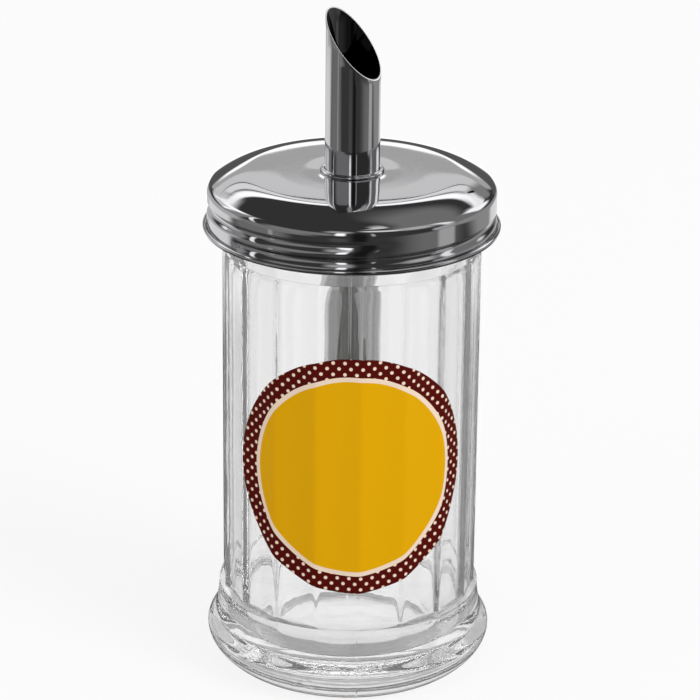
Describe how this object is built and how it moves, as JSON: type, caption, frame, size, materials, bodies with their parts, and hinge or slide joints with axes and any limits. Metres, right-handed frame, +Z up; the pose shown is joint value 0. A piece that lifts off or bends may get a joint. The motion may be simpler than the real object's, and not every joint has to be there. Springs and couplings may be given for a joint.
{
  "type": "sugar pourer",
  "caption": "Fluted glass sugar pourer with a round front label, a screwed domed steel lid and a slant-cut pouring tube that reaches down into the jar.",
  "frame": {"origin": "centre of the ring that the jar stands on, at the level of the table", "axes": "+Z up along the jar's axis, -Y out of the middle of the label, +X to the right of the label"},
  "size_m": [0.0756, 0.0756, 0.175],
  "materials": {
    "glass": "clear pressed glass",
    "printed_film": "glossy printed film",
    "seal_foam": "soft white washer",
    "polished_steel": "mirror polished"
  },
  "bodies": {
    "jar": {"jar": "glass", "label": "printed_film"},
    "seal": {"lid_seal": "seal_foam"},
    "lid": {"lid_cap": "polished_steel", "pour_tube": "polished_steel"}
  },
  "joints": [
    {"name": "lid_lift", "type": "slide", "parent": "jar", "child": "seal", "axis": [0, 0, 1], "range_m": [0, 0.115]},
    {"name": "lid_turn", "type": "hinge", "parent": "seal", "child": "lid", "pos_m": [0, 0, 0.125], "axis": [0, 0, 1], "range_deg": [0, 432]}
  ]
}
